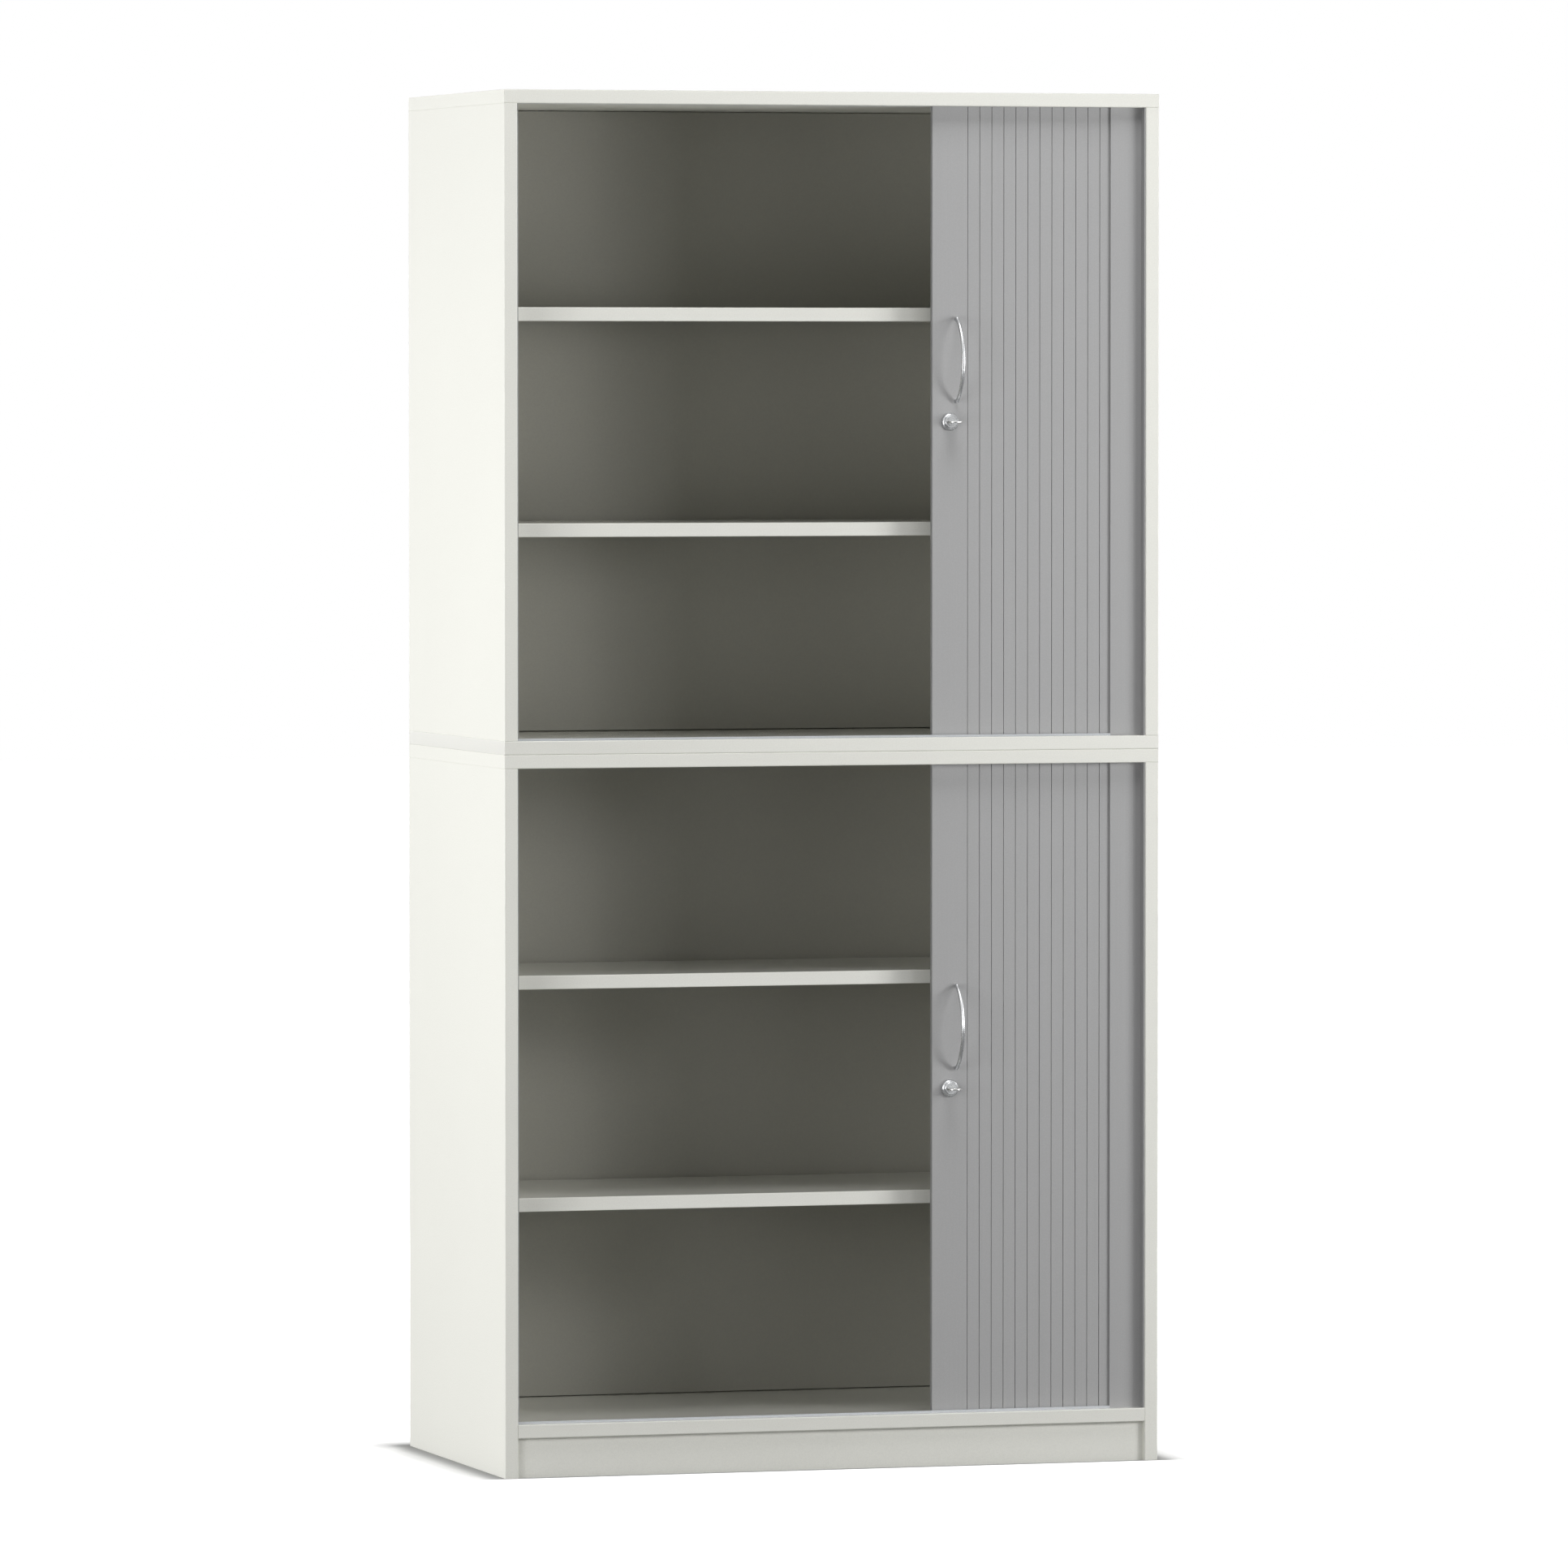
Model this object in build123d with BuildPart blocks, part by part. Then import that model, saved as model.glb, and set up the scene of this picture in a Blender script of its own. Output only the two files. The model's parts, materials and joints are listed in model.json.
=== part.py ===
# Tambour door cabinet: two stacked units, each with one curtain that runs sideways on a curved track.
# Millimetres, +Z up. The origin is on the floor, at the middle of the footprint. The doors face -Y.
import os
from dataclasses import dataclass
from math import cos, degrees, floor, pi, sin, sqrt

from build123d import *

os.makedirs("parts", exist_ok=True)

# Carcass boards
cabinet_width = 1000
cabinet_depth = 535
board = 20
board_edge_radius = 1.5
arris_radius = 0.5
lower_clear_height = 954
upper_clear_height = 924

# Plinth and feet
plinth_height = 58
plinth_board = 16
plinth_recess = 9
rear_plinth_inset = 20
foot_radius = 18
foot_pad_height = 6
foot_stem_radius = 5
foot_flange_radius = 25
foot_flange_height = 4
foot_inset = 60

# Backs and partition
outer_back_thickness = 8
outer_back_inset = 12
groove_depth = 6
groove_fit = 0.15
inner_back_thickness = 8
inner_back_gap = 43.5
inner_back_end_gap = 1.1
partition_thickness = 12
partition_gap = 12
partition_setback = 66

# Shelves and their pins
shelf_thickness = 20
shelf_setback = 70
shelf_end_gap = 1
shelf_rear_gap = 8
shelf_edge_radius = 1
pin_radius = 2.5
pin_length = 16
pin_fit = 0.05
pin_inset = 40

# Curtain slats
slat_pitch = 18.55
slat_gap = 0.35
slat_thickness = 8
slat_back_width = 16.4
slat_edge_radius = 0.6
film_thickness = 0.6
film_bond = 0.2
film_end_gap = 0.3
lead_slat_width = 54.7
lead_edge_radius = 1.2
lead_slat_left = 156
curtain_recess = 20
bend_radius = 38
side_clearance = 7.5
rear_clearance = 16
smallest_closing_strip = 5

# Tracks
track_slot = 11
track_wall = 3
track_depth = 9
track_floor = 1.5
track_end_gap = 20
track_fit = 0.1
lip_height = 3
slat_foot_gap = 0.3
slat_head_gap = 2

# Cover strip over the bend and closing strip on the left side
cover_strip_recess = 16.5
cover_strip_thickness = 2
cover_strip_leg = 14
cover_strip_wing_recess = 2
closing_strip_recess = 14
closing_strip_depth = 24
closing_strip_gap = 0.3

# Bow handle and its screws
handle_length = 126.5
handle_reach = 39
handle_rod_radius = 2.7
handle_foot_radius = 2.9
handle_foot_length = 6
handle_offset = 9.5
handle_above_lock = 90.5
screw_radius = 1.5
screw_fit = 0.05
screw_hole_radius = 1.7
screw_head_radius = 3
screw_head_height = 2.2
screw_grip = 4.5

# Lock
rosette_radius = 13
rosette_height = 5
rosette_rim = 0.8
rosette_bulge = 0.7
ring_width = 1.1
ring_height = 6.2
collar_radius = 9.5
collar_height = 9
collar_edge = 1
barrel_radius = 9
barrel_length = 22
barrel_fit = 0.1
plug_radius = 6
plug_fit = 0.05
plug_stand = 1
spigot_radius = 4
nut_width = 24
nut_height = 4
cam_thickness = 3
cam_width = 12
cam_hook = 5.5
cam_hook_length = 4.8
cam_gap = 0.5
cam_screw_radius = 2
cam_screw_length = 8
cam_screw_head_radius = 4
cam_screw_head_height = 2.5
strike_clearance = 0.7
strike_wall = 2.5
strike_base_height = 14
strike_overhang = 3

# Key
key_blade_width = 7
key_blade_thickness = 2
key_blade_length = 20
key_fit = 0.15
key_neck = 4
key_bow_radius = 11
key_bow_thickness = 2.4
key_ring_radius = 3.5
key_edge_radius = 0.6

# Joinery
dowel_radius = 4
dowel_length = 30
dowel_fit = 0.05
dowel_end_gap = 1
dowel_inset = 50
cam_fitting_radius = 7.5
cam_fitting_height = 10
cam_fitting_reach = 24
cam_fitting_inset = 90
fitting_bolt_radius = 3.5
fitting_bolt_grip = 11
unit_screw_radius = 2.5
unit_screw_length = 35
unit_screw_head_radius = 5
unit_screw_head_height = 3
unit_screw_span = 600
unit_screw_front_inset = 120
unit_screw_rear_inset = 60

# Places that follow from the sizes, as X or as depth behind the front plane
plug_face_depth = curtain_recess - collar_height - plug_stand
key_reach = key_neck + 2 * key_bow_radius - plug_face_depth
front_reach = max(handle_reach - curtain_recess, key_reach, 0)
front_y = front_reach / 2 - cabinet_depth / 2
half_width = cabinet_width / 2
inner_x = half_width - board
side_track_x = inner_x - side_clearance - slat_thickness / 2
bend_x = side_track_x - bend_radius
partition_right = side_track_x - slat_thickness / 2 - partition_gap
partition_left = partition_right - partition_thickness
outer_back_depth = cabinet_depth - outer_back_inset - outer_back_thickness
front_track_depth = curtain_recess + slat_thickness / 2
rear_track_depth = outer_back_depth - rear_clearance - slat_thickness / 2
slot_half = track_slot / 2
track_half = slot_half + track_wall
storage_depth = rear_track_depth - track_half - inner_back_gap - inner_back_thickness
slat_width = slat_pitch - slat_gap
first_slat = lead_slat_left + lead_slat_width
lead_middle = lead_slat_left + lead_slat_width / 2
handle_x = lead_middle + handle_offset
shelf_left = -inner_x + shelf_end_gap
shelf_right = partition_left - shelf_end_gap
shelf_rear = storage_depth - shelf_rear_gap
rear_run_end = -inner_x + track_end_gap

# The curtain's path, as lengths along its middle line, where the front run's length equals its X
bend_length = bend_radius * pi / 2
front_bend_end = bend_x + bend_length
side_run = rear_track_depth - front_track_depth - 2 * bend_radius
rear_bend_start = front_bend_end + side_run
rear_bend_end = rear_bend_start + bend_length


def slat_middle(index):
    """Path length at the middle of a slat, counted from the lead slat."""
    return first_slat + slat_pitch * (index + 0.5)


def first_slat_past(path_length):
    """Index of the first slat whose middle lies past a path length."""
    return floor((path_length - first_slat) / slat_pitch + 0.5)


front_bend_first = first_slat_past(bend_x)
side_first = first_slat_past(front_bend_end)
rear_bend_first = first_slat_past(rear_bend_start)
rear_first = first_slat_past(rear_bend_end)
closing_slats = floor((lead_slat_left + inner_x - smallest_closing_strip) / slat_pitch)
door_travel = closing_slats * slat_pitch
closing_strip_width = lead_slat_left + inner_x - door_travel - closing_strip_gap
rear_slat_count = max(closing_slats - (rear_bend_first - side_first), 1)

# The cam's arm just clears the left side as it turns, and its hook drops behind the strike's wall
lock_back_depth = curtain_recess + barrel_length
cam_depth = lock_back_depth + cam_gap
lock_to_side = closing_strip_width + closing_strip_gap + lead_slat_width / 2
hook_reach = cam_width / 2 + cam_hook
cam_length = sqrt((lock_to_side - strike_clearance) ** 2 - hook_reach**2)
strike_left = lock_to_side - cam_length + cam_hook_length + strike_clearance - inner_x


@dataclass
class Unit:
    """One of the two stacked units: the levels of its clear space and how its boards meet."""

    name: str
    floor_z: float
    clear_height: float
    side_bottom: float
    bottom_half_width: float

    @property
    def ceiling_z(self):
        return self.floor_z + self.clear_height

    @property
    def lock_z(self):
        return self.floor_z + self.clear_height / 2

    @property
    def handle_z(self):
        return self.lock_z + handle_above_lock

    @property
    def bottom_is_inset(self):
        return self.bottom_half_width < half_width


lower_floor = plinth_height + board
units_joint_z = lower_floor + lower_clear_height + board
upper_floor = units_joint_z + board
lower = Unit("lower", lower_floor, lower_clear_height, 0, inner_x)
upper = Unit("upper", upper_floor, upper_clear_height, upper_floor, half_width)
units = (lower, upper)


def y_at(depth):
    """Y of a point at a depth behind the carcass's front plane."""
    return front_y + depth


def shelf_levels(unit):
    """Undersides of the two shelves that share the clear height out evenly."""
    space = (unit.clear_height - 2 * shelf_thickness) / 3
    low = unit.floor_z + space
    return low, low + shelf_thickness + space


def lock_point(unit, depth):
    """Point on the axis of a unit's lock at a depth."""
    return Vector(lead_middle, y_at(depth), unit.lock_z)


def slab(x_span, depth_span, z_span, mode=Mode.ADD):
    """Board between two X, two depths and two heights."""
    x0, x1 = x_span
    y0, y1 = y_at(depth_span[0]), y_at(depth_span[1])
    z0, z1 = z_span
    with BuildSketch(Plane.XY.offset(z0)) as outline:
        with Locations(((x0 + x1) / 2, (y0 + y1) / 2)):
            Rectangle(x1 - x0, y1 - y0)
    extrude(outline.sketch, amount=z1 - z0, mode=mode)


def rod(start, direction, radius, length, mode=Mode.ADD):
    """Round bar from a start point along a direction."""
    with BuildSketch(Plane(origin=start, z_dir=direction)) as outline:
        Circle(radius)
    extrude(outline.sketch, amount=length, mode=mode)


def front_edges(part, axis):
    """Edges along an axis on the front face of a board."""
    return part.faces().sort_by(Axis.Y)[0].edges().filter_by(axis)


def ease_board(builder, axis, ends):
    """Round a board's front edges, its rear edges, and the rims of its X faces named as ends."""
    fillet(front_edges(builder.part, axis), board_edge_radius)
    fillet(builder.part.faces().sort_by(Axis.Y)[-1].edges().filter_by(axis), arris_radius)
    for end in ends:
        fillet(builder.part.faces().sort_by(Axis.X)[end].edges().filter_by(Axis.Y), arris_radius)


def save(builder, name):
    """Label a finished piece and write it."""
    builder.part.label = name
    export_step(builder.part, f"parts/{name}.step")


# Joinery of the corners and of the two units
def joint_places(unit):
    """Corner joints, each as a point, the way into the board that has the cam, and the cam's side."""
    places = []
    for side in (-1, 1):
        middle_x = side * (half_width - board / 2)
        places.append((Vector(middle_x, 0, unit.ceiling_z), Vector(0, 0, -1), Vector(-side, 0, 0)))
        if unit.bottom_is_inset:
            level = unit.floor_z - track_depth - dowel_end_gap - dowel_radius
            places.append((Vector(side * inner_x, 0, level), Vector(-side, 0, 0), Vector(0, 0, -1)))
        else:
            places.append((Vector(middle_x, 0, unit.floor_z), Vector(0, 0, 1), Vector(-side, 0, 0)))
    return places


def at_depth(point, depth):
    return Vector(point.X, y_at(depth), point.Z)


def dowels(unit, radius, length, mode):
    """Dowels of a unit's corner joints, or with a larger size the holes that take them."""
    for point, inward, _ in joint_places(unit):
        for depth in (dowel_inset, cabinet_depth / 2, cabinet_depth - dowel_inset):
            start = at_depth(point, depth) - inward * (length / 2)
            rod(start, inward, radius, length, mode)


def cam_fittings(unit, clearance, mode):
    """Cams with their bolts in a unit's corner joints, or with a clearance their pockets."""
    for point, inward, cam_side in joint_places(unit):
        if abs(inward.Z) > 0:
            skin = board / 2
        else:
            skin = point.Z - (unit.floor_z - board)
        for depth in (cam_fitting_inset, cabinet_depth - cam_fitting_inset):
            joint = at_depth(point, depth)
            bolt_start = joint - inward * (fitting_bolt_grip + clearance)
            bolt_length = fitting_bolt_grip + cam_fitting_reach + clearance
            rod(bolt_start, inward, fitting_bolt_radius + clearance, bolt_length, mode)
            cam_start = joint + inward * cam_fitting_reach + cam_side * skin
            cam_height = cam_fitting_height + clearance
            rod(cam_start, cam_side * -1, cam_fitting_radius + clearance, cam_height, mode)


def cut_joinery(unit):
    """Holes and pockets for a unit's dowels and cam fittings."""
    dowels(unit, dowel_radius + dowel_fit, dowel_length + 2 * dowel_end_gap, Mode.SUBTRACT)
    cam_fittings(unit, dowel_fit, Mode.SUBTRACT)


def unit_screw_places():
    """Points on the underside of the lower unit's top panel where the screws start."""
    places = []
    for x in (-unit_screw_span / 2, unit_screw_span / 2):
        for depth in (unit_screw_front_inset, storage_depth - unit_screw_rear_inset):
            places.append(Vector(x, y_at(depth), lower.ceiling_z))
    return places


def unit_screws(clearance, mode):
    for place in unit_screw_places():
        rod(place, (0, 0, 1), unit_screw_radius + clearance, unit_screw_length + clearance, mode)
        rod(place, (0, 0, 1), unit_screw_head_radius + clearance, unit_screw_head_height + clearance, mode)


# Grooves for the outer back and the tracks
def cut_back_groove(unit):
    reach = inner_x + groove_depth + groove_fit
    depths = (outer_back_depth - groove_fit, outer_back_depth + outer_back_thickness + groove_fit)
    levels = (unit.floor_z - groove_depth - groove_fit, unit.ceiling_z + groove_depth + groove_fit)
    slab((-reach, reach), depths, levels, Mode.SUBTRACT)


def track_band(half, start_x, end_x, level):
    """Band along the curtain's path, from start_x on the front run to end_x on the rear run."""
    front = y_at(front_track_depth)
    rear = y_at(rear_track_depth)
    outer_x = side_track_x + half
    core_x = side_track_x - half
    with BuildSketch(Plane.XY.offset(level)) as band:
        with BuildLine():
            outer = FilletPolyline(
                (start_x, front - half),
                (outer_x, front - half),
                (outer_x, rear + half),
                (end_x, rear + half),
                radius=bend_radius + half,
            )
            inner = FilletPolyline(
                (start_x, front + half),
                (core_x, front + half),
                (core_x, rear - half),
                (end_x, rear - half),
                radius=bend_radius - half,
            )
            Line(outer @ 0, inner @ 0)
            Line(outer @ 1, inner @ 1)
        make_face()
    return band.sketch


def cut_track_groove(unit):
    half = track_half + track_fit
    bottom = track_band(half, -inner_x, rear_run_end - track_fit, unit.floor_z - track_depth)
    extrude(bottom, amount=track_depth, mode=Mode.SUBTRACT)
    top = track_band(half, -inner_x, rear_run_end - track_fit, unit.ceiling_z)
    extrude(top, amount=track_depth, mode=Mode.SUBTRACT)


# Carcass boards
def left_side(unit):
    with BuildPart() as side:
        slab((-half_width, -inner_x), (0, cabinet_depth), (unit.side_bottom, unit.ceiling_z))
        ease_board(side, Axis.Z, [0])
        cut_back_groove(unit)
        cut_joinery(unit)
        cut_pin_holes(unit)
    return side


def right_side(unit):
    with BuildPart() as side:
        slab((inner_x, half_width), (0, cabinet_depth), (unit.side_bottom, unit.ceiling_z))
        ease_board(side, Axis.Z, [-1])
        cut_back_groove(unit)
        cut_joinery(unit)
    return side


def top_panel(unit):
    with BuildPart() as panel:
        slab((-half_width, half_width), (0, cabinet_depth), (unit.ceiling_z, unit.ceiling_z + board))
        ease_board(panel, Axis.X, [0, -1])
        cut_back_groove(unit)
        cut_joinery(unit)
        cut_track_groove(unit)
        if unit is lower:
            unit_screws(dowel_fit, Mode.SUBTRACT)
    return panel


def bottom_panel(unit):
    span = unit.bottom_half_width
    with BuildPart() as panel:
        slab((-span, span), (0, cabinet_depth), (unit.floor_z - board, unit.floor_z))
        ease_board(panel, Axis.X, [] if unit.bottom_is_inset else [0, -1])
        cut_back_groove(unit)
        cut_joinery(unit)
        cut_track_groove(unit)
        if unit is upper:
            unit_screws(dowel_fit, Mode.SUBTRACT)
    return panel


def outer_back(unit):
    with BuildPart() as back:
        slab(
            (-inner_x - groove_depth, inner_x + groove_depth),
            (outer_back_depth, outer_back_depth + outer_back_thickness),
            (unit.floor_z - groove_depth, unit.ceiling_z + groove_depth),
        )
    return back


def inner_back(unit):
    with BuildPart() as back:
        slab(
            (-inner_x, partition_right),
            (storage_depth, storage_depth + inner_back_thickness),
            (unit.floor_z + inner_back_end_gap, unit.ceiling_z - inner_back_end_gap),
        )
    return back


def partition(unit):
    with BuildPart() as wall:
        slab(
            (partition_left, partition_right),
            (partition_setback, storage_depth),
            (unit.floor_z, unit.ceiling_z),
        )
        fillet(front_edges(wall.part, Axis.Z), board_edge_radius)
        cut_pin_holes(unit)
    return wall


# Shelves on round pins
def shelf(unit, underside):
    with BuildPart() as board_shelf:
        slab((shelf_left, shelf_right), (shelf_setback, shelf_rear), (underside, underside + shelf_thickness))
        fillet(front_edges(board_shelf.part, Axis.X), shelf_edge_radius)
    return board_shelf


def shelf_pins(unit, radius, length, mode):
    """Pins half in the side and the partition, or with a larger size the holes that take them."""
    for underside in shelf_levels(unit):
        for depth in (shelf_setback + pin_inset, shelf_rear - pin_inset):
            for face_x in (-inner_x, partition_left):
                start = Vector(face_x - length / 2, y_at(depth), underside - pin_radius)
                rod(start, (1, 0, 0), radius, length, mode)


def cut_pin_holes(unit):
    shelf_pins(unit, pin_radius + pin_fit, pin_length + 2 * pin_fit, Mode.SUBTRACT)


# Tracks: a U profile let into each panel, with a lip that stands up in front of the curtain
def bottom_track(unit):
    foot = unit.floor_z - track_depth
    wall_front = front_track_depth - track_half
    with BuildPart() as track:
        extrude(track_band(track_half, -inner_x, rear_run_end, foot), amount=track_depth)
        slot = track_band(slot_half, -inner_x, rear_run_end, foot + track_floor)
        extrude(slot, amount=track_depth - track_floor, mode=Mode.SUBTRACT)
        lip_levels = (unit.floor_z - track_floor, unit.floor_z + lip_height)
        slab((-inner_x, bend_x), (wall_front, wall_front + track_wall), lip_levels)
    return track


def top_track(unit):
    with BuildPart() as track:
        extrude(track_band(track_half, -inner_x, rear_run_end, unit.ceiling_z), amount=track_depth)
        slot = track_band(slot_half, -inner_x, rear_run_end, unit.ceiling_z)
        extrude(slot, amount=track_depth - track_floor, mode=Mode.SUBTRACT)
    return track


# Strips at both sides of the opening
def cover_strip(unit):
    """Front plate over the bend, with a wing along the side's inner face."""
    back = cover_strip_recess + cover_strip_thickness
    levels = (unit.floor_z, unit.ceiling_z)
    wing_depths = (cover_strip_wing_recess, back + cover_strip_leg)
    with BuildPart() as strip:
        slab((bend_x, inner_x), (cover_strip_recess, back), levels)
        slab((inner_x - cover_strip_thickness, inner_x), wing_depths, levels)
    return strip


def closing_strip(unit):
    with BuildPart() as strip:
        slab(
            (-inner_x, -inner_x + closing_strip_width),
            (closing_strip_recess, closing_strip_recess + closing_strip_depth),
            (unit.floor_z + lip_height + slat_foot_gap, unit.ceiling_z),
        )
    return strip


# Curtain: slats on a hinge film, in sections that lie on the straight runs and in the bends
def curtain_levels(unit):
    foot = unit.floor_z - track_depth + track_floor + slat_foot_gap
    head = unit.ceiling_z + track_depth - track_floor - slat_head_gap
    return foot, head


def slat_section():
    """Cross-section of a slat: X along the path, -Y to the outside, origin at its middle."""
    half_front = slat_width / 2
    half_back = slat_back_width / 2
    half_thickness = slat_thickness / 2
    corners = ((-half_front, -half_thickness), (half_front, -half_thickness), (half_back, half_thickness))
    with BuildSketch() as section:
        with BuildLine():
            Polyline(*corners, (-half_back, half_thickness), close=True)
        make_face()
        fillet(section.vertices().group_by(Axis.Y)[0], slat_edge_radius)
    return section.sketch


def path_location(path_length):
    """Place and heading on the curtain's path, as a location in the XY plane."""
    front = y_at(front_track_depth)
    rear = y_at(rear_track_depth)
    if path_length <= bend_x:
        return Location((path_length, front), 0)
    if path_length <= front_bend_end:
        turn = (path_length - bend_x) / bend_radius
        centre_y = front + bend_radius
        x = bend_x + bend_radius * sin(turn)
        return Location((x, centre_y - bend_radius * cos(turn)), degrees(turn))
    if path_length <= rear_bend_start:
        return Location((side_track_x, front + bend_radius + path_length - front_bend_end), 90)
    if path_length <= rear_bend_end:
        turn = (path_length - rear_bend_start) / bend_radius
        centre_y = rear - bend_radius
        x = bend_x + bend_radius * cos(turn)
        return Location((x, centre_y + bend_radius * sin(turn)), 90 + degrees(turn))
    return Location((bend_x - (path_length - rear_bend_end), rear), 180)


def slats(unit, first, count):
    """Slats of one section, standing in the tracks."""
    foot, head = curtain_levels(unit)
    with BuildSketch(Plane.XY.offset(foot)) as outlines:
        with Locations(*[path_location(slat_middle(first + step)) for step in range(count)]):
            add(slat_section())
    extrude(outlines.sketch, amount=head - foot)


def straight_section(unit, first, count):
    """Slats on a straight run with the film that joins them."""
    length = count * slat_pitch - 2 * film_end_gap
    middle = path_location(slat_middle(first + (count - 1) / 2))
    film_middle = slat_thickness / 2 + (film_thickness - film_bond) / 2
    with BuildPart() as section:
        slats(unit, first, count)
        with BuildSketch(Plane.XY.offset(unit.floor_z)) as film:
            with Locations(middle * Location((0, film_middle))):
                Rectangle(length, film_thickness + film_bond)
        extrude(film.sketch, amount=unit.clear_height)
    return section


def bend_section(unit):
    """Slats in the front and the rear bend, each group with its curved film."""
    back_radius = bend_radius - slat_thickness / 2
    bends = (
        (front_bend_first, side_first, bend_x, y_at(front_track_depth) + bend_radius, -90),
        (rear_bend_first, rear_first, rear_bend_start, y_at(rear_track_depth) - bend_radius, 0),
    )
    with BuildPart() as section:
        for first, following, bend_start, centre_y, start_angle in bends:
            slats(unit, first, following - first)
            turns = [(slat_middle(index) - bend_start) / bend_radius for index in (first, following - 1)]
            angle = start_angle + degrees(turns[0])
            sweep_angle = degrees(turns[1] - turns[0])
            with BuildSketch(Plane.XY.offset(unit.floor_z)) as film:
                with BuildLine():
                    outer = CenterArc((bend_x, centre_y), back_radius + film_bond, angle, sweep_angle)
                    inner = CenterArc((bend_x, centre_y), back_radius - film_thickness, angle, sweep_angle)
                    Line(outer @ 0, inner @ 0)
                    Line(outer @ 1, inner @ 1)
                make_face()
            extrude(film.sketch, amount=unit.clear_height)
    return section


# Lead slat with the holes for the lock and the handle
def lead_slat(unit):
    foot, head = curtain_levels(unit)
    lead_depths = (curtain_recess, curtain_recess + slat_thickness)
    with BuildPart() as lead:
        slab((lead_slat_left, first_slat - slat_gap / 2), lead_depths, (foot, head))
        front_corners = front_edges(lead.part, Axis.Z).sort_by(Axis.X)
        fillet(front_corners[0], lead_edge_radius)
        fillet(front_edges(lead.part, Axis.Z).sort_by(Axis.X)[-1], slat_edge_radius)
        face = lock_point(unit, curtain_recess)
        rod(face, (0, 1, 0), barrel_radius + barrel_fit, slat_thickness, Mode.SUBTRACT)
        for foot_z in handle_feet(unit):
            start = Vector(handle_x, y_at(curtain_recess), foot_z)
            rod(start, (0, 1, 0), screw_hole_radius, slat_thickness, Mode.SUBTRACT)
    return lead


# Bow handle
def handle_feet(unit):
    half_span = handle_length / 2 - handle_foot_radius
    return unit.handle_z - half_span, unit.handle_z + half_span


def handle(unit):
    face_y = y_at(curtain_recess)
    bend_y = face_y - handle_foot_length
    crown_y = face_y - handle_reach + handle_rod_radius
    low, high = handle_feet(unit)
    with BuildPart() as bow:
        with BuildLine() as path:
            ThreePointArc(
                (handle_x, bend_y, low),
                (handle_x, crown_y, unit.handle_z),
                (handle_x, bend_y, high),
            )
        with BuildSketch(Plane(origin=path.line @ 0, z_dir=path.line % 0)):
            Circle(handle_rod_radius)
        sweep()
        for foot_z in (low, high):
            rod((handle_x, face_y, foot_z), (0, -1, 0), handle_foot_radius, handle_foot_length)
            with Locations((handle_x, bend_y, foot_z)):
                Sphere(handle_foot_radius)
            rod((handle_x, face_y, foot_z), (0, -1, 0), screw_radius + screw_fit, screw_grip, Mode.SUBTRACT)
    return bow


def handle_screws(unit):
    back_y = y_at(curtain_recess + slat_thickness)
    with BuildPart() as screws:
        for foot_z in handle_feet(unit):
            rod((handle_x, back_y, foot_z), (0, 1, 0), screw_head_radius, screw_head_height)
            rod((handle_x, back_y, foot_z), (0, -1, 0), screw_radius, slat_thickness + screw_grip - screw_fit)
    return screws


# Lock
def lock_housing(unit):
    """Domed rosette in front of the slat, a ring and a collar on it, and the barrel, bored for the plug."""
    bore_radius = plug_radius + plug_fit
    ring_radius = collar_radius + ring_width
    with BuildPart() as housing:
        with BuildSketch(Plane(origin=lock_point(unit, curtain_recess), x_dir=(1, 0, 0), z_dir=(0, 0, 1))):
            with BuildLine():
                Polyline(
                    (rosette_radius, -rosette_rim),
                    (rosette_radius, 0),
                    (barrel_radius, 0),
                    (barrel_radius, barrel_length),
                    (bore_radius, barrel_length),
                    (bore_radius, -collar_height),
                    (collar_radius - collar_edge, -collar_height),
                    (collar_radius, collar_edge - collar_height),
                    (collar_radius, -ring_height),
                    (ring_radius, -ring_height),
                    (ring_radius, -rosette_height),
                )
                SagittaArc((ring_radius, -rosette_height), (rosette_radius, -rosette_rim), -rosette_bulge)
            make_face()
        revolve(axis=Axis(lock_point(unit, curtain_recess), (0, 1, 0)))
    return housing


def lock_nut(unit):
    back = lock_point(unit, curtain_recess + slat_thickness)
    with BuildPart() as nut:
        with BuildSketch(Plane(origin=back, z_dir=(0, 1, 0))):
            RegularPolygon(nut_width / 2, 6, major_radius=False)
            Circle(barrel_radius + barrel_fit, mode=Mode.SUBTRACT)
        extrude(amount=nut_height)
    return nut


def lock_plug(unit):
    """Plug with its keyway, and the spigot that carries the cam."""
    face = lock_point(unit, plug_face_depth)
    with BuildPart() as plug:
        rod(face, (0, 1, 0), plug_radius, lock_back_depth - plug_face_depth)
        rod(face, (0, 1, 0), spigot_radius, cam_depth + cam_thickness - plug_face_depth)
        keyway_x = key_blade_width / 2 + key_fit
        keyway_z = key_blade_thickness / 2 + key_fit
        slab(
            (lead_middle - keyway_x, lead_middle + keyway_x),
            (plug_face_depth, plug_face_depth + key_blade_length + key_fit),
            (unit.lock_z - keyway_z, unit.lock_z + keyway_z),
            Mode.SUBTRACT,
        )
        screw_seat = lock_point(unit, cam_depth + cam_thickness)
        rod(screw_seat, (0, -1, 0), cam_screw_radius + screw_fit, cam_screw_length, Mode.SUBTRACT)
    return plug


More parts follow.
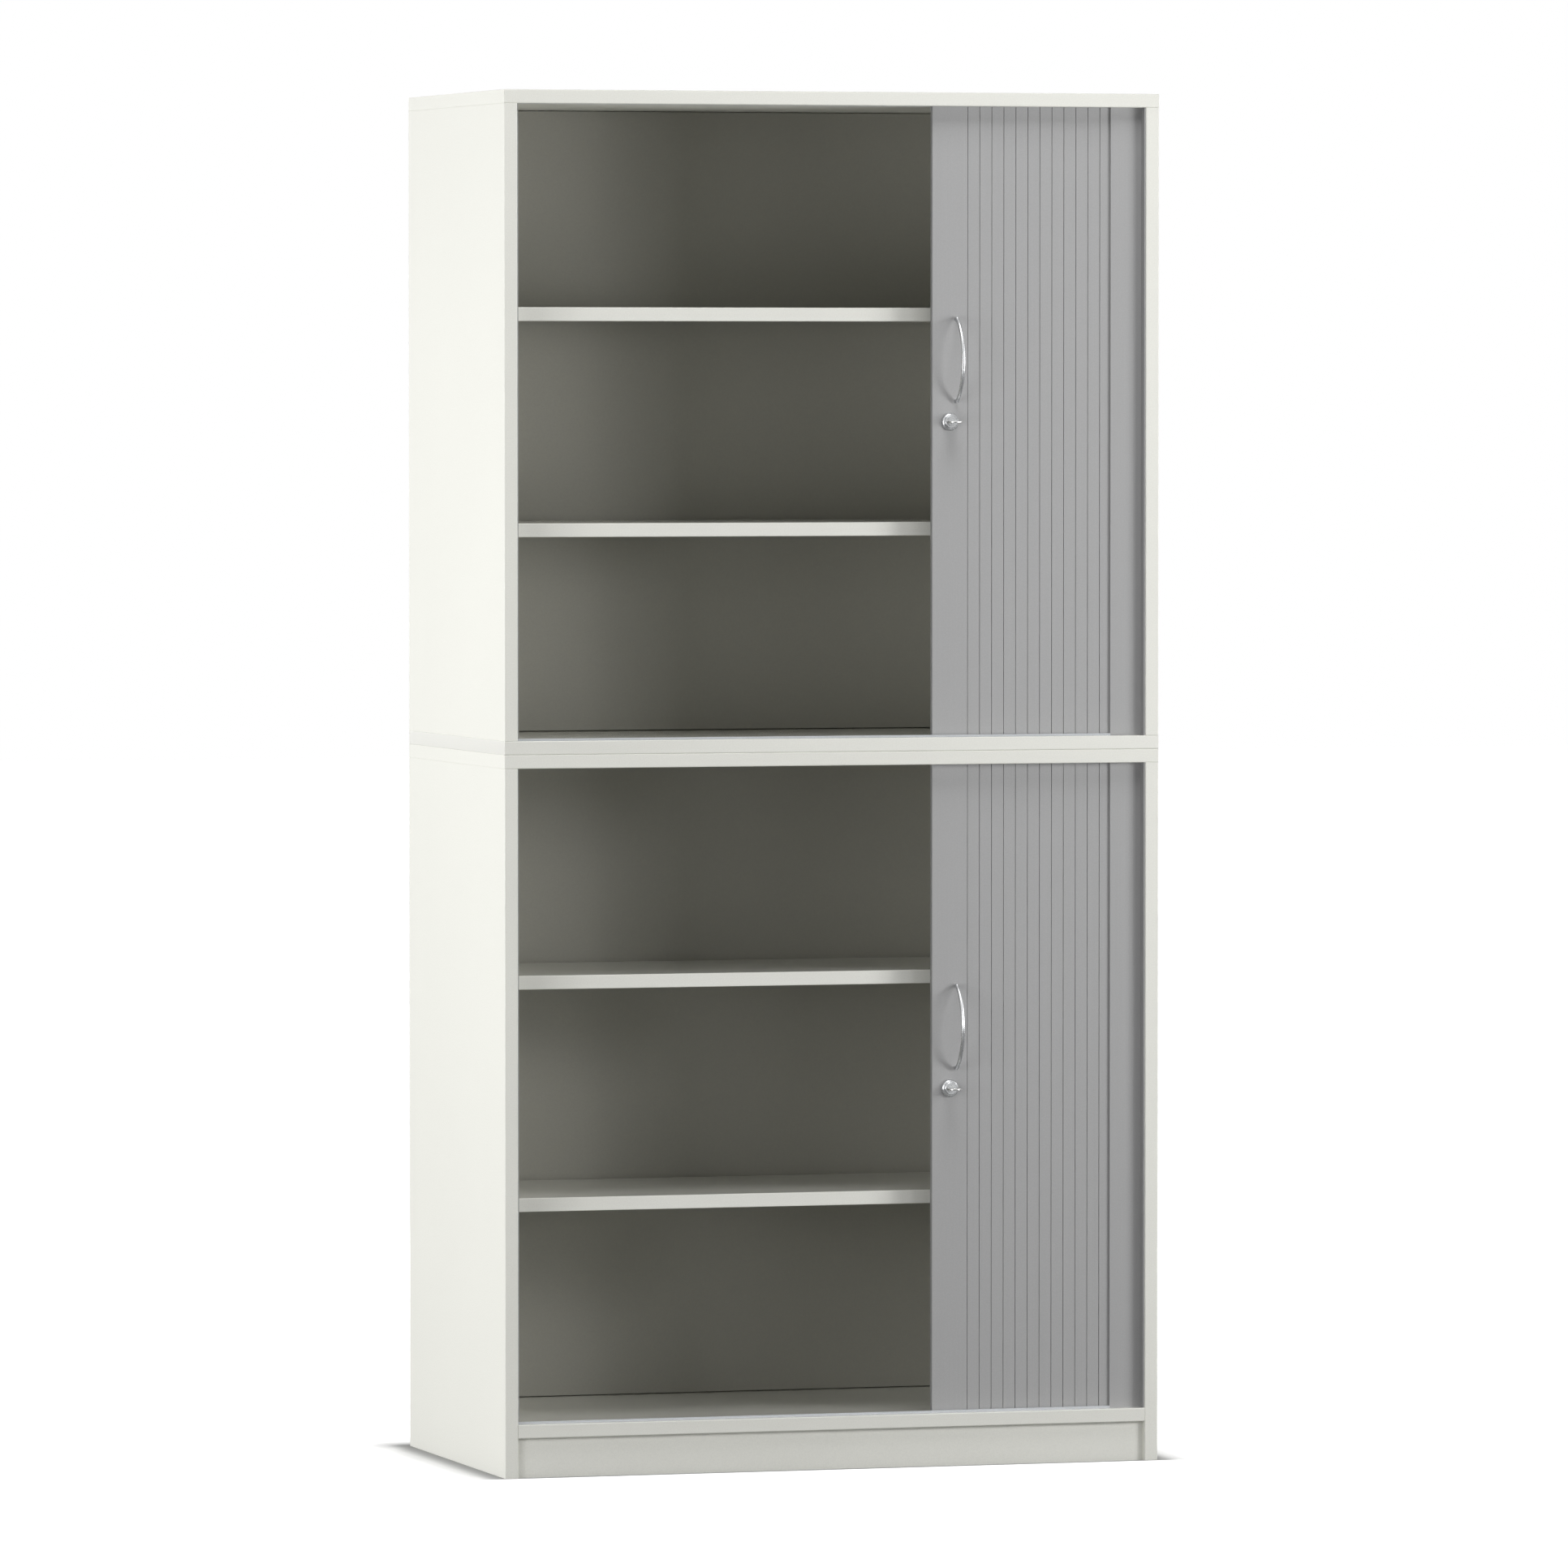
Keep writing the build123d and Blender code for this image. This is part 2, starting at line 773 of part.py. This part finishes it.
def lock_cam(unit):
    """Arm that points up when unlocked, with a hook on the side that leads when it turns to the strike."""
    half_arm = cam_width / 2
    hook_start = cam_length - cam_hook_length
    cam_plane = Plane(origin=lock_point(unit, cam_depth), x_dir=(1, 0, 0), z_dir=(0, -1, 0))
    with BuildPart() as cam:
        with BuildSketch(cam_plane) as outline:
            Circle(half_arm)
            with BuildLine():
                Polyline(
                    (-half_arm, 0),
                    (half_arm, 0),
                    (half_arm, cam_length),
                    (-hook_reach, cam_length),
                    (-hook_reach, hook_start),
                    (-half_arm, hook_start),
                    close=True,
                )
            make_face()
            Circle(spigot_radius + plug_fit, mode=Mode.SUBTRACT)
        extrude(outline.sketch, amount=-cam_thickness)
    return cam


def cam_screw(unit):
    seat = lock_point(unit, cam_depth + cam_thickness)
    with BuildPart() as screw:
        rod(seat, (0, 1, 0), cam_screw_head_radius, cam_screw_head_height)
        rod(seat, (0, -1, 0), cam_screw_radius, cam_screw_length - screw_fit)
    return screw


def key(unit):
    """Flat key with a round bow, lying level in the keyway."""
    bow_depth = plug_face_depth - key_neck - key_bow_radius
    bow_plane = Plane.XY.offset(unit.lock_z - key_bow_thickness / 2)
    with BuildPart() as flat_key:
        with BuildSketch(bow_plane) as bow:
            with Locations((lead_middle, y_at(bow_depth))):
                Circle(key_bow_radius)
        extrude(bow.sketch, amount=key_bow_thickness)
        fillet(flat_key.edges().filter_by(GeomType.CIRCLE), key_edge_radius)
        slab(
            (lead_middle - key_blade_width / 2, lead_middle + key_blade_width / 2),
            (plug_face_depth - key_neck - key_bow_radius / 2, plug_face_depth + key_blade_length),
            (unit.lock_z - key_blade_thickness / 2, unit.lock_z + key_blade_thickness / 2),
        )
        with BuildSketch(bow_plane) as ring_hole:
            with Locations((lead_middle, y_at(bow_depth - key_bow_radius / 2))):
                Circle(key_ring_radius)
        extrude(ring_hole.sketch, amount=key_bow_thickness, mode=Mode.SUBTRACT)
    return flat_key


# Plinth, feet and the pieces that the two units share
def plinth():
    with BuildPart() as front:
        slab((-inner_x, inner_x), (plinth_recess, plinth_recess + plinth_board), (0, plinth_height))
    return front


def rear_plinth():
    front = outer_back_depth - rear_plinth_inset
    with BuildPart() as rear:
        slab((-inner_x, inner_x), (front, front + plinth_board), (0, plinth_height))
    return rear


def levelling_feet():
    with BuildPart() as feet:
        for x in (-inner_x + foot_inset, inner_x - foot_inset):
            for depth in (foot_inset, outer_back_depth - foot_inset):
                base = Vector(x, y_at(depth), 0)
                rod(base, (0, 0, 1), foot_radius, foot_pad_height)
                rod(base, (0, 0, 1), foot_stem_radius, plinth_height)
                flange = base + Vector(0, 0, plinth_height - foot_flange_height)
                rod(flange, (0, 0, 1), foot_flange_radius, foot_flange_height)
    return feet


def strikes():
    """Blocks on the left sides, each with a wall that a cam's hook drops behind."""
    depths = (cam_depth - strike_overhang, cam_depth + cam_thickness + strike_overhang)
    with BuildPart() as blocks:
        for unit in units:
            wall_top = unit.lock_z - cam_width / 2 - strike_clearance
            base_top = unit.lock_z - hook_reach - strike_clearance
            slab((-inner_x, strike_left + strike_wall), depths, (base_top - strike_base_height, base_top))
            slab((strike_left, strike_left + strike_wall), depths, (base_top, wall_top))
    return blocks


def all_dowels():
    with BuildPart() as pegs:
        for unit in units:
            dowels(unit, dowel_radius, dowel_length, Mode.ADD)
    return pegs


def all_cam_fittings():
    with BuildPart() as fittings:
        for unit in units:
            cam_fittings(unit, 0, Mode.ADD)
    return fittings


def all_shelf_pins():
    with BuildPart() as pins:
        for unit in units:
            shelf_pins(unit, pin_radius, pin_length, Mode.ADD)
    return pins


def all_unit_screws():
    with BuildPart() as screws:
        unit_screws(0, Mode.ADD)
    return screws


for unit in units:
    low_shelf, high_shelf = shelf_levels(unit)
    side_count = rear_bend_first - side_first
    pieces = {
        "top_panel": top_panel(unit),
        "bottom_panel": bottom_panel(unit),
        "left_side": left_side(unit),
        "right_side": right_side(unit),
        "outer_back": outer_back(unit),
        "inner_back": inner_back(unit),
        "partition": partition(unit),
        "low_shelf": shelf(unit, low_shelf),
        "high_shelf": shelf(unit, high_shelf),
        "bottom_track": bottom_track(unit),
        "top_track": top_track(unit),
        "cover_strip": cover_strip(unit),
        "closing_strip": closing_strip(unit),
        "lead_slat": lead_slat(unit),
        "front_slats": straight_section(unit, 0, front_bend_first),
        "bend_slats": bend_section(unit),
        "side_slats": straight_section(unit, side_first, side_count),
        "rear_slats": straight_section(unit, rear_first, rear_slat_count),
        "handle": handle(unit),
        "handle_screws": handle_screws(unit),
        "lock_housing": lock_housing(unit),
        "lock_nut": lock_nut(unit),
        "lock_plug": lock_plug(unit),
        "lock_cam": lock_cam(unit),
        "cam_screw": cam_screw(unit),
        "key": key(unit),
    }
    for piece_name, piece in pieces.items():
        save(piece, f"{unit.name}_{piece_name}")

save(plinth(), "plinth")
save(rear_plinth(), "rear_plinth")
save(levelling_feet(), "levelling_feet")
save(strikes(), "strikes")
save(all_dowels(), "dowels")
save(all_cam_fittings(), "cam_fittings")
save(all_shelf_pins(), "shelf_pins")
save(all_unit_screws(), "unit_screws")

print(f"door travel {door_travel:.2f}, closing strip {closing_strip_width:.2f}")
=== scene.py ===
import json
from math import cos, radians, sin

import bpy
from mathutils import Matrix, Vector


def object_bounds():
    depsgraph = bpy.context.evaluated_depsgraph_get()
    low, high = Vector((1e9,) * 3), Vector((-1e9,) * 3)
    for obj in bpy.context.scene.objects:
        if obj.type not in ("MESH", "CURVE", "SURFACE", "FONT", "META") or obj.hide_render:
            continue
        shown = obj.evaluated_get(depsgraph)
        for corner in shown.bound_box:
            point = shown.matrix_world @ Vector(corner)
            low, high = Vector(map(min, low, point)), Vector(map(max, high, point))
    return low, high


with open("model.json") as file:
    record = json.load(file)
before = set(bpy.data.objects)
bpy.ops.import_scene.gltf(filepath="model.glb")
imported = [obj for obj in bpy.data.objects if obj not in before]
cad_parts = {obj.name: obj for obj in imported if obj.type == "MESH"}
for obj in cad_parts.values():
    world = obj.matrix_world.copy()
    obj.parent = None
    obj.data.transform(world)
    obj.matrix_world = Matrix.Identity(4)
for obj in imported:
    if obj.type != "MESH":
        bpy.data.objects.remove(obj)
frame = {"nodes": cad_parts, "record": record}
cad_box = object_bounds()

# Photograph and camera: sizes in pixels, sensor in millimetres, angles in degrees
PHOTO_SIDE = 1932
FOCAL_PIXELS = 14010
SENSOR_WIDTH = 36
CAMERA_PLACE = (-4.888, -16.138, 1.601)
CAMERA_YAW = -16.855
CAMERA_PITCH = 2.054
CAMERA_REACH = 200

# Softboxes: name, direction in degrees (0 in front, 90 at the right), distance from the cabinet's middle,
# height, the point that each faces, side and watts
MIDDLE = (0, 0, 1)
HANDLES = (0.19, -0.24, 1.3)
UPPER_MIDDLE = (0, 0, 1.2)
SOFTBOXES = (
    ("left_side", -100, 4.5, 1.5, MIDDLE, 1.8, 130),
    ("left", -62, 4.5, 0.8, MIDDLE, 1.2, 21),
    ("left_front", -50, 4.5, 1.5, MIDDLE, 1.8, 29.5),
    ("left_low", -50, 4.5, 0.4, MIDDLE, 1.8, 29),
    ("front_low", 20, 4.5, 0.5, MIDDLE, 1.2, 3.4),
    ("right_front", 50, 4, 1, MIDDLE, 1.2, 52),
    ("key", 37.83, 3.824, 1.72, HANDLES, 0.8, 25),
    ("right", 80, 3.5, 1.8, MIDDLE, 1.2, 18),
    ("top", 0, 1.5, 4.2, UPPER_MIDDLE, 1.4, 48),
    ("rear", 160.35, 4.46, 1.6, MIDDLE, 1.8, 90),
)

# Strength of the even light from all sides
SKY_STRENGTH = 0.02

# Strength of the background that reflections see in front of the cabinet and not above it; it is 1 elsewhere.
# Each pair is where a direction's share upward or backward starts to count, and where it counts in full.
FRONT_BACKGROUND = 0.3
UPWARD = (0.05, 0.25)
BACKWARD = (-0.2, 0.2)

# Floor: share of light that it gives back to the object, and to the camera
FLOOR_HALF_WIDTH = 30
FLOOR_BOUNCE = 0.35
FLOOR_SEEN = 0.85

# Painted shadow around the cabinet, drawn by darkening the floor's colour towards the foot: its paleness at
# the foot, and how far out it ends
PAINTED_SHADOW_PALENESS = 0.5
PAINTED_SHADOW_END = 0.04

# White that the camera sees on the floor, in two steps: start and end level, and how far out each ends
NEAR_GLOW = (-0.06, 0.5)
NEAR_GLOW_END = 0.09
FAR_GLOW = (0, 0.5)
FAR_GLOW_END = 0.2

# How far the handles stand out, and how many times a distance in front of the cabinet counts
HANDLE_REACH = 0.019
FRONT_STRETCH = 8

# Finishes, as linear colours
LAMINATE_COLOUR = (0.80, 0.80, 0.745)
# Painted shade: the back boards get a colour much darker than the laminate, standing in for the shade deep
# inside the cabinet
BACK_PAINTED_SHADE_COLOUR = (0.35, 0.343, 0.303)
CURTAIN_COLOUR = (0.384, 0.384, 0.386)
TRACK_COLOUR = (0.55, 0.57, 0.6)
CHROME_COLOUR = (0.6, 0.61, 0.62)
NICKEL_COLOUR = (0.62, 0.62, 0.61)
STEEL_COLOUR = (0.55, 0.55, 0.56)
ZINC_COLOUR = (0.42, 0.42, 0.43)
RUBBER_COLOUR = (0.02, 0.02, 0.021)
BEECH_COLOUR = (0.56, 0.38, 0.22)
WHITE = (1, 1, 1)

# Sockets of the colour mix node
MIX_FACTOR = 0
MIX_FIRST = 6
MIX_SECOND = 7
MIX_RESULT = 2


# Node helpers
class Graph:
    """A node tree, with short calls that add one node and link its inputs."""

    def __init__(self, tree, output_kind):
        self.tree = tree
        self.tree.nodes.clear()
        self.output = self.add(output_kind)

    def add(self, kind, settings=None, **inputs):
        """A node; underscores in the names of its inputs stand for spaces."""
        node = self.tree.nodes.new("ShaderNode" + kind)
        for name, value in (settings or {}).items():
            setattr(node, name, value)
        for name, value in inputs.items():
            self.feed(node.inputs[name.replace("_", " ")], value)
        return node

    def feed(self, socket, value):
        """Links an output to a socket, or sets the socket's value."""
        if isinstance(value, bpy.types.NodeSocket):
            self.tree.links.new(value, socket)
        else:
            socket.default_value = value

    def show(self, shader):
        """Links a shader node to the tree's output."""
        self.feed(self.output.inputs[0], shader.outputs[0])

    def math(self, operation, first, second=0.0):
        node = self.add("Math", {"operation": operation})
        self.feed(node.inputs[0], first)
        self.feed(node.inputs[1], second)
        return node.outputs[0]

    def spread(self, value, low, high):
        """A 0 to 1 value mapped to a range."""
        return self.add("MapRange", Value=value, To_Min=low, To_Max=high).outputs[0]

    def reach(self, value, start, end):
        """0 up to the start, 1 from the end, and an even rise between."""
        return self.add("MapRange", Value=value, From_Min=start, From_Max=end).outputs[0]

    def ramp(self, value, start, end, low, high):
        """A smooth step between two levels."""
        node = self.add(
            "MapRange",
            {"interpolation_type": "SMOOTHSTEP"},
            Value=value,
            From_Min=start,
            From_Max=end,
            To_Min=low,
            To_Max=high,
        )
        return node.outputs[0]

    def noise(self, scale, detail, stretch=(1, 1, 1)):
        """A noise from 0 to 1 over the points of the row frame."""
        coordinates = self.add("TexCoord").outputs["Object"]
        points = self.add("Mapping", Vector=coordinates, Scale=stretch).outputs[0]
        return self.add("TexNoise", Vector=points, Scale=scale, Detail=detail).outputs["Fac"]

    def vary(self, noise, amount):
        """A noise as a factor around 1."""
        return self.spread(noise, 1 - amount, 1 + amount)

    def tint(self, colour, *factors):
        """A colour made darker and lighter by factors around 1."""
        product = factors[0]
        for factor in factors[1:]:
            product = self.math("MULTIPLY", product, factor)
        grey = self.add("CombineColor", Red=product, Green=product, Blue=product).outputs[0]
        mix = self.add("Mix", {"data_type": "RGBA", "blend_type": "MULTIPLY"})
        self.feed(mix.inputs[MIX_FACTOR], 1)
        self.feed(mix.inputs[MIX_FIRST], (*colour, 1))
        self.feed(mix.inputs[MIX_SECOND], grey)
        return mix.outputs[MIX_RESULT]

    def bump(self, height, distance, strength):
        return self.add("Bump", Height=height, Distance=distance, Strength=strength).outputs[0]


def material_graph(name):
    """A new material and the graph of its nodes."""
    material = bpy.data.materials.new(name)
    material.use_nodes = True
    return material, Graph(material.node_tree, "OutputMaterial")


# Finishes
def laminate(name, colour, sheen=0):
    """Melamine with a fine pearl texture; the sheen is a thin glossy face."""
    material, g = material_graph(name)
    cloud = g.vary(g.noise(scale=4, detail=3), 0.015)
    speck = g.vary(g.noise(scale=500, detail=3), 0.07)
    shader = g.add(
        "BsdfPrincipled",
        Base_Color=g.tint(colour, cloud, speck),
        Roughness=g.spread(g.noise(scale=60, detail=3), 0.42, 0.55),
        Normal=g.bump(g.noise(scale=700, detail=2), distance=0.00002, strength=0.5),
        Specular_IOR_Level=0.5,
        Coat_Weight=sheen,
        Coat_Roughness=0.1,
    )
    g.show(shader)
    return material


def curtain_plastic(name, colour):
    """Silver grey extruded plastic with fine draw lines, and painted shade that makes the cut flanks facing
    left darker.
    """
    material, g = material_graph(name)
    normal = g.add("NewGeometry").outputs["Normal"]
    to_right = g.add("SeparateXYZ", Vector=normal).outputs["X"]
    # Painted shade: faces turned to the left are darkened down to 0.7 of the colour
    shade = g.ramp(to_right, start=-0.9, end=-0.15, low=0.7, high=1)
    speck = g.vary(g.noise(scale=600, detail=3), 0.1)
    lines = g.noise(scale=1100, detail=2, stretch=(1, 1, 0.004))
    shader = g.add(
        "BsdfPrincipled",
        Base_Color=g.tint(colour, speck, g.vary(lines, 0.035), shade),
        Roughness=g.spread(g.noise(scale=250, detail=2), 0.42, 0.56),
        Normal=g.bump(lines, distance=0.00004, strength=0.5),
        Specular_IOR_Level=0.45,
    )
    g.show(shader)
    return material


def metal(name, colour, smoothest, roughest):
    """Plated or cast metal with a fine mottle."""
    material, g = material_graph(name)
    mottle = g.noise(scale=500, detail=3)
    shader = g.add(
        "BsdfPrincipled",
        Base_Color=g.tint(colour, g.vary(mottle, 0.05)),
        Roughness=g.spread(mottle, smoothest, roughest),
        Normal=g.bump(mottle, distance=0.00001, strength=0.4),
        Metallic=1,
    )
    g.show(shader)
    return material


def grainy(name, colour, scale, detail, stretch, relief):
    """A dull face whose grain shows in its colour, roughness and relief."""
    material, g = material_graph(name)
    grain = g.noise(scale, detail, stretch)
    shader = g.add(
        "BsdfPrincipled",
        Base_Color=g.tint(colour, g.vary(grain, 0.2)),
        Roughness=g.spread(grain, 0.5, 0.7),
        Normal=g.bump(grain, distance=relief, strength=1),
    )
    g.show(shader)
    return material


def make_finishes():
    """One finish for each material slot of the record."""
    return {
        "laminate": laminate("off_white_laminate", LAMINATE_COLOUR),
        # Painted shade: the back boards take a darker colour in place of the shade deep inside the cabinet
        "back_board": laminate("back_laminate_painted_shade", BACK_PAINTED_SHADE_COLOUR),
        "curtain_plastic": curtain_plastic("curtain_plastic", CURTAIN_COLOUR),
        "trim_plastic": curtain_plastic("trim_plastic", CURTAIN_COLOUR),
        "track_plastic": curtain_plastic("track_plastic", TRACK_COLOUR),
        "chrome": metal("satin_chrome", CHROME_COLOUR, 0.24, 0.32),
        "nickel": metal("nickel", NICKEL_COLOUR, 0.26, 0.36),
        "steel": metal("zinc_plated_steel", STEEL_COLOUR, 0.3, 0.45),
        "zinc": metal("die_cast_zinc", ZINC_COLOUR, 0.4, 0.6),
        "foot_plastic": grainy("foot_plastic", RUBBER_COLOUR, 800, 2, (1, 1, 1), 0.00005),
        "beech": grainy("beech", BEECH_COLOUR, 220, 4, (1, 1, 0.1), 0.0001),
    }


def dress_nodes():
    """Gives each CAD node the finish of its slot, and the level boards a glossy one."""
    finishes = make_finishes()
    glossy_laminate = laminate("shelf_laminate", LAMINATE_COLOUR, sheen=1)
    for part in frame["record"]["subparts"]:
        name = part["node"]
        level_board = name.endswith(("_shelf", "_bottom_panel"))
        materials = frame["nodes"][name].data.materials
        materials.clear()
        materials.append(glossy_laminate if level_board else finishes[part["material_slot"]])


# Floor and surroundings
def footprint_distance(g):
    """How far a floor point lies from the cabinet's foot; distances in front count many times."""
    low, high = cad_box
    coordinates = g.add("TexCoord").outputs["Object"]
    place = g.add("SeparateXYZ", Vector=coordinates)
    beside = g.math("SUBTRACT", g.math("ABSOLUTE", place.outputs["X"]), high[0])
    forward = g.math("MULTIPLY", place.outputs["Y"], -1)
    before = g.math("SUBTRACT", forward, -low[1] - HANDLE_REACH)
    behind = g.math("SUBTRACT", place.outputs["Y"], high[1])
    stretched = g.math("MULTIPLY", g.math("MAXIMUM", before, 0), FRONT_STRETCH)
    depth = g.math("ADD", stretched, g.math("MAXIMUM", behind, 0))
    apart = g.add("CombineXYZ", X=g.math("MAXIMUM", beside, 0), Y=depth).outputs[0]
    length = g.add("VectorMath", {"operation": "LENGTH"})
    g.feed(length.inputs[0], apart)
    return length.outputs["Value"]


def floor_material():
    """Pale paper, seen as white apart from the shadow close around the cabinet, which is real shadow deepened
    by painted shadow in the paper's colour.
    """
    material, g = material_graph("floor")
    seen = g.add("LightPath").outputs["Is Camera Ray"]
    distance = footprint_distance(g)
    # Painted shadow: the paper's colour darkens towards the cabinet's foot
    painted_shadow = g.ramp(distance, 0, PAINTED_SHADOW_END, PAINTED_SHADOW_PALENESS, 1)
    paleness = g.math("MULTIPLY", painted_shadow, g.spread(seen, FLOOR_BOUNCE, FLOOR_SEEN))
    grain = g.vary(g.noise(scale=40, detail=2), 0.005)
    paper = g.add("BsdfDiffuse", Color=g.tint(WHITE, paleness, grain))
    near = g.ramp(distance, 0, NEAR_GLOW_END, *NEAR_GLOW)
    far = g.ramp(distance, 0, FAR_GLOW_END, *FAR_GLOW)
    level = g.math("MAXIMUM", g.math("ADD", near, far), 0)
    glow = g.add("Emission", Color=(*WHITE, 1), Strength=g.math("MULTIPLY", seen, level))
    both = g.add("AddShader")
    g.feed(both.inputs[0], paper.outputs[0])
    g.feed(both.inputs[1], glow.outputs[0])
    g.show(both)
    return material


def make_floor():
    half = FLOOR_HALF_WIDTH
    corners = [(-half, -half, 0), (half, -half, 0), (half, half, 0), (-half, half, 0)]
    mesh = bpy.data.meshes.new("floor")
    mesh.from_pydata(corners, [], [(0, 1, 2, 3)])
    floor = bpy.data.objects.new("floor", mesh)
    bpy.context.scene.collection.objects.link(floor)
    floor.data.materials.append(floor_material())


def make_world():
    """Dim even light; the camera and reflections see white, apart from a dim part in front."""
    world = bpy.data.worlds.new("studio")
    world.use_nodes = True
    g = Graph(world.node_tree, "OutputWorld")
    path = g.add("LightPath").outputs
    way = g.add("SeparateXYZ", Vector=g.add("TexCoord").outputs["Generated"]).outputs
    mirrored = g.math("MAXIMUM", path["Is Glossy Ray"], path["Is Transmission Ray"])
    seen = g.math("MAXIMUM", path["Is Camera Ray"], mirrored)
    around = g.math("MAXIMUM", g.reach(way["Z"], *UPWARD), g.reach(way["Y"], *BACKWARD))
    bright = g.math("MAXIMUM", around, path["Is Camera Ray"])
    light = g.add("Background", Color=(*WHITE, 1), Strength=SKY_STRENGTH)
    white = g.add("Background", Color=(*WHITE, 1), Strength=g.spread(bright, FRONT_BACKGROUND, 1))
    mix = g.add("MixShader", Fac=seen)
    g.feed(mix.inputs[1], light.outputs[0])
    g.feed(mix.inputs[2], white.outputs[0])
    g.show(mix)
    bpy.context.scene.world = world


# Light and camera
def softbox(name, direction, distance, height, target, side, watts):
    data = bpy.data.lights.new(name, "AREA")
    data.shape = "SQUARE"
    data.size = side
    data.energy = watts
    lamp = bpy.data.objects.new(name, data)
    bpy.context.scene.collection.objects.link(lamp)
    angle = radians(direction)
    lamp.location = (distance * sin(angle), -distance * cos(angle), height)
    lamp.rotation_euler = (Vector(target) - lamp.location).to_track_quat("-Z", "Y").to_euler()


def make_camera():
    data = bpy.data.cameras.new("camera")
    data.sensor_fit = "HORIZONTAL"
    data.sensor_width = SENSOR_WIDTH
    data.lens = FOCAL_PIXELS / PHOTO_SIDE * SENSOR_WIDTH
    data.clip_end = CAMERA_REACH
    camera = bpy.data.objects.new("camera", data)
    bpy.context.scene.collection.objects.link(camera)
    camera.location = CAMERA_PLACE
    camera.rotation_euler = (radians(90 - CAMERA_PITCH), 0, radians(CAMERA_YAW))
    bpy.context.scene.camera = camera


dress_nodes()
make_floor()
make_world()
for lamp in SOFTBOXES:
    softbox(*lamp)
make_camera()

bpy.context.scene.view_settings.view_transform = "Standard"
